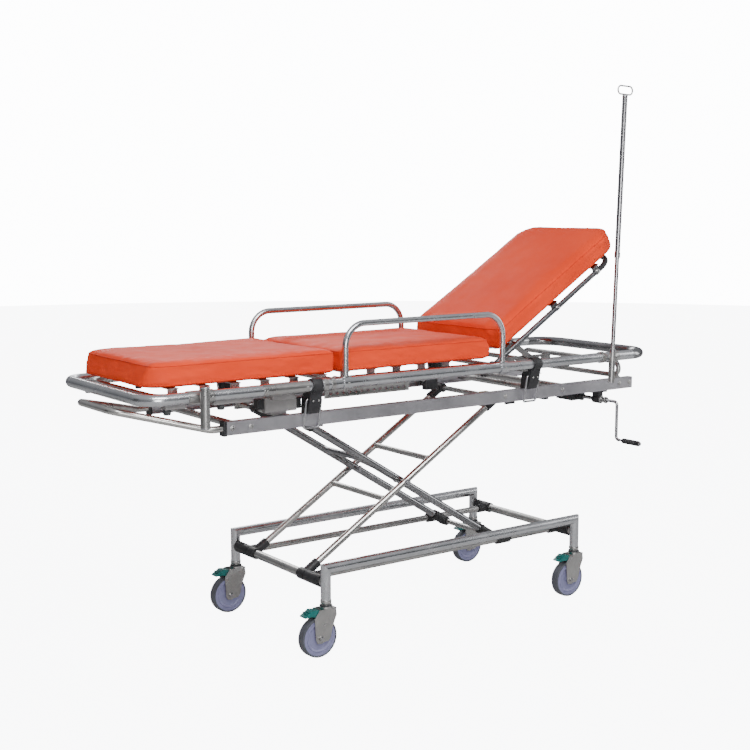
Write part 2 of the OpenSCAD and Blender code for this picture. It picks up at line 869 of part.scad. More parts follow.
// Leg section frame on its hinge eyes
module leg_frame() {
    end_x = frame_foot_x + 58;
    color("silver") {
        difference() {
            union() {
                bent_tube([[knee_x - 10, -leg_deck_y, frame_z], [end_x, -leg_deck_y, frame_z],
                           [end_x, leg_deck_y, frame_z], [knee_x - 10, leg_deck_y, frame_z]],
                          40, deck_tube_r, 0);
                for (s = [-1, 1])
                    rod([knee_x, s * leg_deck_y - 10, frame_z],
                        [knee_x, s * leg_deck_y + 10, frame_z], 14);
            }
            for (s = [-1, 1])
                rod([knee_x, s * leg_deck_y - 20, frame_z], [knee_x, s * leg_deck_y + 20, frame_z],
                    axle_tube_r + running_gap);
        }
        hat_slats([end_x + 50 : slat_pitch : knee_x - 40], leg_deck_y, pad_z - 0.4, frame_z);
    }
}

// ---- Pads ----

// Pad with the given side outline, its corners rounded in plan at one end
module pad(outline, end_x, way, corner) {
    intersection() {
        translate([0, pad_y, 0]) rotate([90, 0, 0]) linear_extrude(2 * pad_y) polygon(outline);
        translate([0, 0, -200]) linear_extrude(1400)
            union() {
                translate([way > 0 ? end_x - 2000 : end_x + corner, -pad_y - 1])
                    square([2000 - corner, 2 * pad_y + 2]);
                translate([way > 0 ? end_x - 2000 : end_x, -pad_y + corner])
                    square([2000, 2 * (pad_y - corner)]);
                for (s = [-1, 1])
                    translate([end_x - way * corner, s * (pad_y - corner)]) circle(corner);
            }
    }
}

module leg_pad() {
    color([0.75, 0.3, 0.25])
        pad([[leg_pad_foot_x, pad_z], [knee_x - 9, pad_z], [knee_x - knee_gap, pad_top],
             [leg_pad_foot_x + 30, pad_top]], leg_pad_foot_x, foot, leg_pad_corner);
}

module seat_pad() {
    color([0.75, 0.3, 0.25])
        translate([0, pad_y, 0]) rotate([90, 0, 0]) linear_extrude(2 * pad_y)
            polygon([[knee_x + 3, pad_z], for (p = seat_head_end) [back_axis_x + p.x, pad_z + p.y],
                     [knee_x + 3, pad_top]]);
}

module back_pad() {
    low = pad_z - frame_z;
    color([0.75, 0.3, 0.25]) back_local()
        pad([[back_pad_start[0], low], [back_len, low], [back_len, low + pad_t],
             [back_pad_start[1], low + pad_t]], back_len, head, back_pad_corner);
}

// ---- Arm rails ----

// Folding arm rail: bent tube on two collars that turn on a main tube
module arm_rail(s) {
    y = s * frame_y;
    difference() {
        union() {
            bent_tube([[arm_x[0], y, frame_z + frame_r], [arm_x[0], y, arm_top_z],
                       [arm_x[1], y, arm_top_z], [arm_x[1], y, frame_z + frame_r]],
                      arm_bend, arm_r);
            for (x = arm_x)
                rod([x - arm_collar_w / 2, y, frame_z], [x + arm_collar_w / 2, y, frame_z],
                    collar_r);
        }
        for (x = arm_x)
            rod([x - arm_collar_w, y, frame_z], [x + arm_collar_w, y, frame_z],
                frame_r + running_gap);
    }
}

module arm_rail_near() {
    color("gainsboro") arm_rail(near);
}

module arm_rail_far() {
    color("gainsboro") arm_rail(far);
}

// ---- Poles and rack ----

// Local frame of the pole: Z runs up the pole from the height of the main tubes
module pole_local() {
    translate([pole_x, -pole_y, frame_z]) rotate([0, pole_lean, 0]) children();
}

// Sockets on the near main tube: an empty one for accessories, one for the pole
module pole_sockets() {
    color("gainsboro") {
        difference() {
            rod([socket_x, -socket_y, frame_z - 84], [socket_x, -socket_y, frame_z + 31],
                socket_r);
            rod([socket_x, -socket_y, frame_z - 78], [socket_x, -socket_y, frame_z + 32],
                socket_bore);
            rod([socket_x - 40, -frame_y, frame_z], [socket_x + 40, -frame_y, frame_z],
                frame_r + 2.5);
        }
        difference() {
            pole_local() rod([0, 0, -87], [0, 0, 19], pole_r + 4);
            pole_local() rod([0, 0, -83], [0, 0, 20], pole_r + running_gap);
            rod([pole_x - 40, -frame_y, frame_z], [pole_x + 40, -frame_y, frame_z], frame_r);
        }
    }
}

module iv_pole() {
    color("silver") pole_local() {
        rod([0, 0, -83 + 0.5], [0, 0, pole_top_z - frame_z], pole_r);
        rod([0, 0, 19 + 0.5], [0, 0, 30], pole_r + 4);
    }
}

// Sleeve that slides on the pole, with the hanging ring on its top
module iv_extension() {
    low = sleeve_foot_z - frame_z;
    ring = ring_z - frame_z;
    ring_half = 21;
    ring_r = 14;
    plug = ring - ring_r - 12;
    color("silver") pole_local() {
        difference() {
            union() {
                rod([0, 0, low], [0, 0, plug], sleeve_r);
                rod([0, 0, low], [0, 0, low + 18], sleeve_r + 1.2);
            }
            rod([0, 0, low - 1], [0, 0, plug - 10], pole_r + running_gap);
        }
        rod([0, 0, plug - 1], [0, 0, ring - ring_r + 1], 6);
        translate([0, 0, ring]) {
            for (s = [-1, 1]) {
                rod([-ring_half, 0, s * ring_r], [ring_half, 0, s * ring_r], ring_wire_r);
                translate([s * ring_half, 0, 0]) rotate([90, 0, 0])
                    rotate([0, 0, s > 0 ? -90 : 90])
                        rotate_extrude(angle = 180) translate([ring_r, 0]) circle(ring_wire_r);
            }
        }
    }
}

// Perforated rack beside the near main tube
module ratchet_rack() {
    y = -241.5;
    x = [-505, -185];
    holes = 13;
    pitch = 23;
    color("gainsboro")
        difference() {
            union() {
                translate([x[0], y, 784]) cube([x[1] - x[0], 3, 36]);
                for (t = [x[0] + 12, x[1] - 32])
                    translate([t, -266, 812]) cube([20, 266 + y + 1, 8]);
            }
            for (i = [0 : holes - 1])
                translate([x[0] + 22 + i * pitch, y + 5, 799]) rotate([90, 0, 0])
                    cylinder(h = 10, r = 6);
            rod([x[0] - 10, -frame_y, frame_z], [x[1] + 10, -frame_y, frame_z], frame_r);
        }
}

base_sides();
crossbars();
slide_rails();
rail_tees();
fork(near, foot);  // fork_near_foot
fork(far, foot);  // fork_far_foot
fork(near, head);  // fork_near_head
fork(far, head);  // fork_far_head
wheel(near, foot);  // wheel_near_foot
wheel(far, foot);  // wheel_far_foot
wheel(near, head);  // wheel_near_head
wheel(far, head);  // wheel_far_head
tyre(near, foot);  // tyre_near_foot
tyre(far, foot);  // tyre_far_foot
tyre(near, head);  // tyre_near_head
tyre(far, head);  // tyre_far_head
pedal(near, foot);  // pedal_near_foot
pedal(far, foot);  // pedal_far_foot
pedal(near, head);  // pedal_near_head
pedal(far, head);  // pedal_far_head
outer_legs();
outer_leg_tees();
crossing_bolts();
inner_legs();
inner_leg_tees();
inner_leg_bracing();
slide_shaft();
slide_bushes();
top_shaft();
top_sliders();
lift_nut();
side_channels();
channel_end_caps();
channel_bolts();
cross_tubes();
foot_loop();
gearbox();
lead_screw();
crank();
crank_grip();
main_tubes();
foot_bow();
head_bow();
frame_collars();
clamp_saddles();
bails_near();
bails_far();
deck_frame();
back_frame();
back_stay();
leg_frame();
leg_pad();
seat_pad();
back_pad();
arm_rail_near();
arm_rail_far();
pole_sockets();
iv_pole();
iv_extension();
ratchet_rack();
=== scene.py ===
"""Ambulance cot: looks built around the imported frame. Metres, +Z up, +X to the head end."""
import json
import math

import bmesh
import bpy
from mathutils import Matrix, Vector, noise
from mathutils.bvhtree import BVHTree

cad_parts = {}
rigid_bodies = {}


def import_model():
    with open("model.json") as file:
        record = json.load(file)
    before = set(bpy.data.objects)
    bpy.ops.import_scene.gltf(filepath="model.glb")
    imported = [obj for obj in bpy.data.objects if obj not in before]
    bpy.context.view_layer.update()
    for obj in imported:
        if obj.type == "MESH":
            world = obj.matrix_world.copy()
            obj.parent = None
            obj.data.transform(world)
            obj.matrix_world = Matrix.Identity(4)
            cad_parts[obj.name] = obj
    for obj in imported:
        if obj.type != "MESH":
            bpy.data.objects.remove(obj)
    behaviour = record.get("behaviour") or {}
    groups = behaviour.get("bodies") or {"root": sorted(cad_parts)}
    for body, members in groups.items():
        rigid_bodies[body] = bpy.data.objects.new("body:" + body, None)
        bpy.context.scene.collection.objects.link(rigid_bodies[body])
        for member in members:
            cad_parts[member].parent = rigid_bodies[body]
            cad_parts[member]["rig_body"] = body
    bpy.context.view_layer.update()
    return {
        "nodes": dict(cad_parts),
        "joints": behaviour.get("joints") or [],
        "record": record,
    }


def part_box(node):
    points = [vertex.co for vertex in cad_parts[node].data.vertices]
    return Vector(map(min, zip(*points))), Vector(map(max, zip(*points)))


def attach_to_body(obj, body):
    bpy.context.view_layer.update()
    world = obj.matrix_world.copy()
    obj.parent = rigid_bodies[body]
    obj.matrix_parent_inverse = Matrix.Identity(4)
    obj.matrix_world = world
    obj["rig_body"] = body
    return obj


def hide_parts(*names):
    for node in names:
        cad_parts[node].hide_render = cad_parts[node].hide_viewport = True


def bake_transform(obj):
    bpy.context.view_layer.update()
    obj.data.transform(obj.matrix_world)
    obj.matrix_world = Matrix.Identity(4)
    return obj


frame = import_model()
NODES = frame["nodes"]
JOINTS = {j["name"]: j for j in frame["joints"]}
NEAR, FAR = -1, 1
SIDES = (("near", NEAR), ("far", FAR))
ENDS = ("foot", "head")
MIDDLE = (-0.1, 0, 0.7)             # what the lights aim at
NOISE_LOW, NOISE_HIGH = 0.3, 0.7    # the part of a noise pattern that a ramp spreads out
RAIL_Y, RAIL_Z = 0.274, 0.833       # centre lines of the main tubes
OUTER_LEG_Y, INNER_LEG_Y = 0.152, 0.125
POLE_LEAN = math.radians(2)
PAD_VOXEL = 0.009
PAD_SWELL = 0.008                   # how far the cloth may move a point of a pad
PAD_GAP = 0.0008                    # from the leg and seat pads' shared end to each of them


# ---- Camera, light and stage ----

def set_camera():
    place = (-2.6403, -3.4207, 1.3641)
    azimuth = math.radians(53.85)
    down = math.radians(7.555)
    view = Vector((math.cos(azimuth) * math.cos(down), math.sin(azimuth) * math.cos(down),
                   -math.sin(down)))
    data = bpy.data.cameras.new("camera")
    data.lens = 61.84
    data.sensor_width = 36
    data.clip_end = 60
    camera = bpy.data.objects.new("camera", data)
    camera.location = place
    camera.rotation_euler = view.to_track_quat("-Z", "Y").to_euler()
    bpy.context.collection.objects.link(camera)
    bpy.context.scene.camera = camera


def area_light(name, place, size, watts):
    data = bpy.data.lights.new(name, "AREA")
    data.shape = "RECTANGLE"
    data.size, data.size_y = size
    data.energy = watts
    light = bpy.data.objects.new(name, data)
    light.location = place
    light.rotation_euler = (Vector(MIDDLE) - Vector(place)).to_track_quat("-Z", "Y").to_euler()
    bpy.context.collection.objects.link(light)


def set_light():
    """A pale room that the camera sees as white, and four soft lights."""
    world = bpy.data.worlds.new("studio")
    bpy.context.scene.world = world
    world.use_nodes = True
    tree = world.node_tree
    tree.nodes.clear()
    out = tree.nodes.new("ShaderNodeOutputWorld")
    room = tree.nodes.new("ShaderNodeBackground")
    coords = tree.nodes.new("ShaderNodeTexCoord")
    split = tree.nodes.new("ShaderNodeSeparateXYZ")
    height = tree.nodes.new("ShaderNodeValToRGB")
    height.color_ramp.elements[0].position = 0.0
    height.color_ramp.elements[0].color = (0.24, 0.25, 0.27, 1)
    height.color_ramp.elements[1].position = 0.75
    height.color_ramp.elements[1].color = (0.92, 0.93, 0.96, 1)
    tree.links.new(coords.outputs["Generated"], split.inputs[0])
    tree.links.new(split.outputs["Z"], height.inputs["Fac"])
    tree.links.new(height.outputs["Color"], room.inputs["Color"])
    room.inputs["Strength"].default_value = 0.55
    backdrop = tree.nodes.new("ShaderNodeBackground")
    backdrop.inputs["Color"].default_value = (0.97, 0.98, 1.0, 1)
    backdrop.inputs["Strength"].default_value = 14.0
    rays = tree.nodes.new("ShaderNodeLightPath")
    choose = tree.nodes.new("ShaderNodeMixShader")
    tree.links.new(rays.outputs["Is Camera Ray"], choose.inputs[0])
    tree.links.new(room.outputs[0], choose.inputs[1])
    tree.links.new(backdrop.outputs[0], choose.inputs[2])
    tree.links.new(choose.outputs[0], out.inputs[0])
    area_light("key", (-1.0, -2.5, 3.5), (3.0, 1.1), 120)
    area_light("front", (-2.2, -4.4, 1.3), (1.8, 1.4), 75)
    area_light("fill", (3.4, -1.6, 1.6), (0.9, 2.0), 26)
    area_light("rim", (1.0, 3.2, 2.4), (2.6, 0.7), 45)


def set_stage():
    """A floor that the camera sees as white, and two dark cards for the metal to reflect."""
    mesh = bpy.data.meshes.new("floor")
    shape = bmesh.new()
    bmesh.ops.create_circle(shape, cap_ends=True, radius=14, segments=96)
    shape.to_mesh(mesh)
    shape.free()
    floor = bpy.data.objects.new("floor", mesh)
    bpy.context.collection.objects.link(floor)
    mat, shader, put = new_material("floor_paint")
    shader.inputs["Roughness"].default_value = 0.9
    shader.inputs["Specular IOR Level"].default_value = 0.1
    grain = put("ShaderNodeTexNoise", Scale=3.0, Detail=2.0)
    ramp(mat, grain.outputs["Fac"], shader.inputs["Base Color"],
         (0.50, 0.50, 0.50), (0.56, 0.56, 0.56))
    glow = put("ShaderNodeEmission", Color=(0.97, 0.98, 1.0, 1), Strength=9.0)
    seen = put("ShaderNodeAddShader")
    rays = put("ShaderNodeLightPath")
    choose = put("ShaderNodeMixShader")
    links = mat.node_tree.links
    links.new(shader.outputs[0], seen.inputs[0])
    links.new(glow.outputs[0], seen.inputs[1])
    links.new(rays.outputs["Is Camera Ray"], choose.inputs[0])
    links.new(shader.outputs[0], choose.inputs[1])
    links.new(seen.outputs[0], choose.inputs[2])
    links.new(choose.outputs[0], mat.node_tree.nodes["Material Output"].inputs["Surface"])
    mesh.materials.append(mat)
    for name, place, turn, size in (("flag_left", (-4.2, 1.2, 1.1), 70, (1.6, 2.4)),
                                    ("flag_right", (2.4, -4.6, 0.9), 10, (1.8, 2.0))):
        card = bpy.data.meshes.new(name)
        w, h = size[0] / 2, size[1] / 2
        card.from_pydata([(-w, 0, -h), (w, 0, -h), (w, 0, h), (-w, 0, h)], [], [(0, 1, 2, 3)])
        obj = bpy.data.objects.new(name, card)
        obj.location = place
        obj.rotation_euler = (0, 0, math.radians(turn))
        bpy.context.collection.objects.link(obj)
        obj.visible_camera = False
        obj.visible_shadow = False
        obj.visible_diffuse = False
        dark, shader, put = new_material(name + "_cloth")
        shader.inputs["Base Color"].default_value = (0.02, 0.02, 0.02, 1)
        shader.inputs["Roughness"].default_value = 0.9
        card.materials.append(dark)


# ---- Materials ----

def new_material(name):
    """A material, its Principled shader and a function that adds nodes with set inputs."""
    mat = bpy.data.materials.new(name)
    mat.use_nodes = True
    tree = mat.node_tree
    shader = tree.nodes["Principled BSDF"]

    def put(kind, **inputs):
        node = tree.nodes.new(kind)
        for key, value in inputs.items():
            node.inputs[key.replace("_", " ")].default_value = value
        return node
    return mat, shader, put


def place_coords(mat, put, scale):
    """Object coordinates stretched by scale, so that a pattern can run along one direction."""
    coords = put("ShaderNodeTexCoord")
    mapping = put("ShaderNodeMapping", Scale=scale)
    mat.node_tree.links.new(coords.outputs["Object"], mapping.inputs["Vector"])
    return mapping.outputs["Vector"]


def ramp(mat, source, target, low, high):
    node = mat.node_tree.nodes.new("ShaderNodeValToRGB")
    node.color_ramp.elements[0].position = NOISE_LOW
    node.color_ramp.elements[0].color = (*low, 1)
    node.color_ramp.elements[1].position = NOISE_HIGH
    node.color_ramp.elements[1].color = (*high, 1)
    mat.node_tree.links.new(source, node.inputs["Fac"])
    mat.node_tree.links.new(node.outputs["Color"], target)


def rough(mat, put, shader, source, low, high):
    node = put("ShaderNodeMapRange", From_Min=NOISE_LOW, From_Max=NOISE_HIGH, To_Min=low,
               To_Max=high)
    mat.node_tree.links.new(source, node.inputs["Value"])
    mat.node_tree.links.new(node.outputs["Result"], shader.inputs["Roughness"])


def bump(mat, put, shader, source, depth, strength):
    node = put("ShaderNodeBump", Strength=strength, Distance=depth)
    mat.node_tree.links.new(source, node.inputs["Height"])
    mat.node_tree.links.new(node.outputs["Normal"], shader.inputs["Normal"])


def metal(name, low, high, rough_low, rough_high, along="x"):
    """Drawn or plated metal: fine draw lines, cloudy tone and uneven polish."""
    mat, shader, put = new_material(name)
    links = mat.node_tree.links
    shader.inputs["Metallic"].default_value = 1.0
    stretch = {"x": (0.02, 1, 1), "y": (1, 0.02, 1), "z": (1, 1, 0.02), "": (1, 1, 1)}[along]
    lines = put("ShaderNodeTexNoise", Scale=900.0, Detail=3.0)
    links.new(place_coords(mat, put, stretch), lines.inputs["Vector"])
    cloud = put("ShaderNodeTexNoise", Scale=9.0, Detail=4.0, Roughness=0.6)
    links.new(place_coords(mat, put, (1, 1, 1)), cloud.inputs["Vector"])
    ramp(mat, cloud.outputs["Fac"], shader.inputs["Base Color"], low, high)
    rough(mat, put, shader, cloud.outputs["Fac"], rough_low, rough_high)
    bump(mat, put, shader, lines.outputs["Fac"], 2e-5, 0.6)
    return mat


def painted(name, low, high, rough_low, rough_high, peel, depth):
    """Paint or powder coat with orange peel and faint dirt clouds."""
    mat, shader, put = new_material(name)
    links = mat.node_tree.links
    shader.inputs["Coat Weight"].default_value = 0.25
    shader.inputs["Coat Roughness"].default_value = 0.2
    coords = place_coords(mat, put, (1, 1, 1))
    peels = put("ShaderNodeTexNoise", Scale=peel, Detail=2.0)
    cloud = put("ShaderNodeTexNoise", Scale=7.0, Detail=5.0, Roughness=0.65)
    for node in (peels, cloud):
        links.new(coords, node.inputs["Vector"])
    ramp(mat, cloud.outputs["Fac"], shader.inputs["Base Color"], low, high)
    rough(mat, put, shader, cloud.outputs["Fac"], rough_low, rough_high)
    bump(mat, put, shader, peels.outputs["Fac"], depth, 0.5)
    return mat


def moulded(name, low, high, rough_low, rough_high, grain=1400.0, depth=6e-5, sheen=0.0):
    """Moulded plastic or rubber with a fine spark-eroded grain and scuffs."""
    mat, shader, put = new_material(name)
    links = mat.node_tree.links
    shader.inputs["Sheen Weight"].default_value = sheen
    coords = place_coords(mat, put, (1, 1, 1))
    pores = put("ShaderNodeTexVoronoi", Scale=grain)
    scuffs = put("ShaderNodeTexNoise", Scale=38.0, Detail=6.0, Roughness=0.7)
    for node in (pores, scuffs):
        links.new(coords, node.inputs["Vector"])
    ramp(mat, scuffs.outputs["Fac"], shader.inputs["Base Color"], low, high)
    rough(mat, put, shader, scuffs.outputs["Fac"], rough_low, rough_high)
    bump(mat, put, shader, pores.outputs["Distance"], depth, 0.35)
    return mat


def vinyl(name, low, high):
    """Coated upholstery cloth: pebble grain, soft creases and uneven gloss."""
    mat, shader, put = new_material(name)
    links = mat.node_tree.links
    shader.inputs["Specular IOR Level"].default_value = 0.06
    coords = place_coords(mat, put, (1, 1, 1))
    pebble = put("ShaderNodeTexVoronoi", Scale=620.0)
    creases = put("ShaderNodeTexNoise", Scale=16.0, Detail=7.0, Roughness=0.62)
    tone = put("ShaderNodeTexNoise", Scale=4.5, Detail=3.0)
    for node in (pebble, creases, tone):
        links.new(coords, node.inputs["Vector"])
    ramp(mat, tone.outputs["Fac"], shader.inputs["Base Color"], low, high)
    rough(mat, put, shader, creases.outputs["Fac"], 0.42, 0.58)
    pebble_share = put("ShaderNodeMath")
    pebble_share.operation = "MULTIPLY"
    pebble_share.inputs[1].default_value = 0.12
    links.new(pebble.outputs["Distance"], pebble_share.inputs[0])
    total = put("ShaderNodeMath")
    total.operation = "ADD"
    links.new(pebble_share.outputs[0], total.inputs[0])
    links.new(creases.outputs["Fac"], total.inputs[1])
    bump(mat, put, shader, total.outputs[0], 0.0012, 0.45)
    return mat


def make_materials():
    """Materials by name; the names of the record's slots are among them."""
    return {
        "bright_tube": metal("anodised_tube", (0.56, 0.57, 0.59), (0.68, 0.69, 0.71), 0.20, 0.32),
        "pale_tube": metal("satin_tube", (0.52, 0.51, 0.49), (0.64, 0.63, 0.61), 0.22, 0.34),
        "grey_tube": metal("steel_tube", (0.25, 0.25, 0.26), (0.34, 0.34, 0.35), 0.18, 0.30),
        "channel": metal("channel_section", (0.50, 0.49, 0.52), (0.58, 0.57, 0.60), 0.36, 0.48),
        "steel": metal("plated_steel", (0.40, 0.395, 0.39), (0.54, 0.535, 0.52), 0.22, 0.38, ""),
        "chrome": metal("chrome_plate", (0.40, 0.40, 0.42), (0.50, 0.50, 0.51), 0.20, 0.30, ""),
        "black_plastic": moulded("black_nylon", (0.012, 0.012, 0.014), (0.03, 0.03, 0.033),
                                 0.38, 0.55),
        "wheel_plastic": moulded("wheel_plastic", (0.20, 0.20, 0.34), (0.25, 0.25, 0.42),
                                 0.40, 0.55),
        "tyre_rubber": moulded("tyre_rubber", (0.055, 0.06, 0.075), (0.085, 0.09, 0.11),
                               0.50, 0.70, 900.0, 1e-4, 0.15),
        "teal_plastic": moulded("teal_plastic", (0.0, 0.11, 0.10), (0.004, 0.16, 0.15),
                                0.25, 0.38),
        "brass": metal("brass_nut", (0.45, 0.33, 0.12), (0.58, 0.44, 0.18), 0.25, 0.40, ""),
        "pad_vinyl": vinyl("pad_vinyl", (0.83, 0.058, 0.016), (0.92, 0.078, 0.024)),
        "welt": vinyl("welt_vinyl", (0.70, 0.045, 0.012), (0.80, 0.06, 0.018)),
        "rubber": moulded("foot_rubber", (0.03, 0.032, 0.035), (0.055, 0.057, 0.06), 0.55, 0.75),
        "cast": painted("cast_bracket", (0.20, 0.19, 0.19), (0.28, 0.27, 0.27), 0.42, 0.6,
                        420.0, 1.2e-4),
    }


# ---- Mesh helpers ----

def add_piece(name, shape, material, body, smooth=35):
    """Turns a bmesh into a finished object that rides on a body."""
    bmesh.ops.recalc_face_normals(shape, faces=shape.faces)
    mesh = bpy.data.meshes.new(name)
    shape.to_mesh(mesh)
    shape.free()
    obj = bpy.data.objects.new(name, mesh)
    bpy.context.collection.objects.link(obj)
    mesh.materials.append(MATERIALS[material])
    mesh.shade_smooth()
    mesh.set_sharp_from_angle(angle=math.radians(smooth))
    if body:
        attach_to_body(obj, body)
    return obj


def aim(axis):
    """Rotation that takes +Z to axis."""
    return Vector(axis).normalized().to_track_quat("Z", "Y").to_matrix().to_4x4()


def lathe(shape, profile, place, axis, segments):
    """Turned solid: profile is (radius, height) pairs from the axis and back to it."""
    start = Matrix.Translation(place) @ aim(axis)
    rings = []
    for radius, height in profile:
        if radius < 1e-7:
            rings.append([shape.verts.new(start @ Vector((0, 0, height)))])
            continue
        rings.append([shape.verts.new(start @ Vector((radius * math.cos(t), radius * math.sin(t),
                                                      height)))
                      for t in (2 * math.pi * i / segments for i in range(segments))])
    for a, b in zip(rings, rings[1:]):
        for i in range(segments):
            j = (i + 1) % segments
            corners = [a[i % len(a)], a[j % len(a)], b[j % len(b)], b[i % len(b)]]
            face = list(dict.fromkeys(corners))
            if len(face) > 2:
                shape.faces.new(face)


def ring_profile(radius, thick, height, round_by):
    """Outline of a collar with rounded rims, for lathe; closed on itself."""
    inner, outer = radius, radius + thick
    return [(inner, 0), (outer - round_by, 0), (outer - 0.3 * round_by, 0.3 * round_by),
            (outer, round_by), (outer, height - round_by),
            (outer - 0.3 * round_by, height - 0.3 * round_by), (outer - round_by, height),
            (inner, height), (inner, 0)]


def dome_head(shape, place, axis, radius, height):
    """Domed screw head with a round socket recess."""
    steps = 5
    profile = [(0, 0), (radius, 0), (radius, 0.25 * height)]
    for i in range(1, steps + 1):
        t = i / steps * math.pi / 2 * 0.8
        profile.append((radius * math.cos(t), 0.25 * height + 0.75 * height * math.sin(t)))
    top = profile[-1][1]
    profile += [(radius * 0.36, top), (radius * 0.34, top - 0.45 * height),
                (0, top - 0.45 * height)]
    lathe(shape, profile, place, axis, 24)


def hex_head(shape, place, axis, radius, height, washer=0.0):
    """Hexagon head or nut with chamfered corners, on a washer."""
    start = Matrix.Translation(place) @ aim(axis)
    if washer > 0:
        lathe(shape, [(0, 0), (washer, 0), (washer, 0.0012), (0, 0.0012)], place, axis, 28)
    low = 0.0012 if washer > 0 else 0
    levels = [(0.93, low), (1, low + 0.12 * height), (1, low + 0.88 * height),
              (0.9, low + height)]
    rings = []
    for share, z in levels:
        rings.append([shape.verts.new(start @ Vector((radius * share * math.cos(t),
                                                      radius * share * math.sin(t), z)))
                      for t in (math.pi / 3 * i for i in range(6))])
    for a, b in zip(rings, rings[1:]):
        for i in range(6):
            shape.faces.new((a[i], a[(i + 1) % 6], b[(i + 1) % 6], b[i]))
    shape.faces.new(rings[-1])
    shape.faces.new(list(reversed(rings[0])))


def sweep(shape, points, radius, sides, closed=False):
    """Tube along points with a frame carried from ring to ring."""
    pts = [Vector(p) for p in points]
    n = len(pts)
    normal = None
    rings = []
    for i, p in enumerate(pts):
        ahead = pts[(i + 1) % n] if closed or i < n - 1 else pts[i]
        behind = pts[i - 1] if closed or i > 0 else pts[i]
        tangent = (ahead - behind).normalized()
        if normal is None:
            normal = tangent.orthogonal().normalized()
        normal = (normal - tangent * normal.dot(tangent)).normalized()
        side = tangent.cross(normal)
        rings.append([shape.verts.new(p + radius * (normal * math.cos(t) + side * math.sin(t)))
                      for t in (2 * math.pi * k / sides for k in range(sides))])
    pairs = list(zip(rings, rings[1:]))
    if closed:
        last, first = rings[-1], rings[0]
        shift = min(range(sides), key=lambda k: (last[0].co - first[k].co).length)
        pairs.append((last, first[shift:] + first[:shift]))
    for a, b in pairs:
        for i in range(sides):
            j = (i + 1) % sides
            shape.faces.new((a[i], a[j], b[j], b[i]))
    if not closed:
        shape.faces.new(list(reversed(rings[0])))
        shape.faces.new(rings[-1])


def rounded_box(shape, low, high, round_by):
    """Box with rounded edges between two corners."""
    made = bmesh.ops.create_cube(shape, size=1)["verts"]
    size = Vector(high) - Vector(low)
    middle = (Vector(high) + Vector(low)) / 2
    matrix = Matrix.Translation(middle) @ Matrix.Diagonal((*size, 1))
    bmesh.ops.transform(shape, matrix=matrix, verts=made)
    edges = list({e for v in made for e in v.link_edges})
    bmesh.ops.bevel(shape, geom=edges, offset=round_by, segments=3, profile=0.7, affect="EDGES",
                    clamp_overlap=True)


def softened(node, width, slot):
    """The CAD node's own shape with its hard edges rounded, shown in its place."""
    source = NODES[node]
    shape = bmesh.new()
    shape.from_mesh(source.data)
    bmesh.ops.remove_doubles(shape, verts=shape.verts, dist=1e-5)
    bmesh.ops.dissolve_limit(shape, angle_limit=math.radians(1.5), verts=shape.verts,
                             edges=shape.edges)
    sharp = [e for e in shape.edges
             if len(e.link_faces) == 2 and e.calc_face_angle(0) > math.radians(28)]
    bmesh.ops.bevel(shape, geom=sharp, offset=width, segments=2, profile=0.7,
                    affect="EDGES", clamp_overlap=True)
    body = source["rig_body"]
    obj = add_piece(node + "_soft_edges", shape, slot, body)
    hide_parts(node)


# ---- Pads ----

def back_matrix():
    """Local frame of the backrest: X up the back from its hinge, Z out of its deck."""
    hinge = Vector(JOINTS["back_tilt"]["pos_m"])
    rise = math.radians(-JOINTS["back_tilt"]["range_deg"][0])
    return Matrix.Translation(hinge) @ Matrix.Rotation(-rise, 4, "Y")


def pad_shape(node, local, shrink):
    """The pad's solid in its local frame, shrunk a little about its middle, edges eased."""
    shape = bmesh.new()
    shape.from_mesh(NODES[node].data)
    bmesh.ops.remove_doubles(shape, verts=shape.verts, dist=1e-5)
    bmesh.ops.transform(shape, matrix=local.inverted(), verts=shape.verts)
    bmesh.ops.dissolve_limit(shape, angle_limit=math.radians(1), verts=shape.verts,
                             edges=shape.edges)
    los = Vector([min(v.co[k] for v in shape.verts) for k in range(3)])
    his = Vector([max(v.co[k] for v in shape.verts) for k in range(3)])
    mid = (los + his) / 2
    for v in shape.verts:
        for k in range(3):
            half = (his[k] - los[k]) / 2
            v.co[k] = mid[k] + (v.co[k] - mid[k]) * (half - shrink) / half
    sharp = [e for e in shape.edges
             if len(e.link_faces) == 2 and e.calc_face_angle(0) > math.radians(30)]
    bmesh.ops.bevel(shape, geom=sharp, offset=0.008, segments=3, profile=0.5, affect="EDGES",
                    clamp_overlap=True)
    return shape, los, his


def inflate(obj):
    """Cloth with inner pressure, run in place; each point may move at most PAD_SWELL."""
    rest = [v.co.copy() for v in obj.data.vertices]
    cloth = obj.modifiers.new("cloth", "CLOTH")
    settings = cloth.settings
    settings.quality = 5
    settings.mass = 0.4
    settings.tension_stiffness = 25
    settings.compression_stiffness = 12
    settings.bending_stiffness = 4
    settings.use_pressure = True
    settings.uniform_pressure_force = 4
    settings.effector_weights.gravity = 0
    cloth.collision_settings.use_collision = False
    cloth.point_cache.frame_start = 1
    cloth.point_cache.frame_end = 20
    scene = bpy.context.scene
    for step in range(1, 21):
        scene.frame_set(step)
    depsgraph = bpy.context.evaluated_depsgraph_get()
    settled = obj.evaluated_get(depsgraph).to_mesh()
    moved = [v.co.copy() for v in settled.vertices]
    obj.evaluated_get(depsgraph).to_mesh_clear()
    obj.modifiers.remove(cloth)
    for v, a, b in zip(obj.data.vertices, rest, moved):
        step = b - a
        if step.length > PAD_SWELL:
            step *= PAD_SWELL / step.length
        v.co = a + step
    scene.frame_set(1)


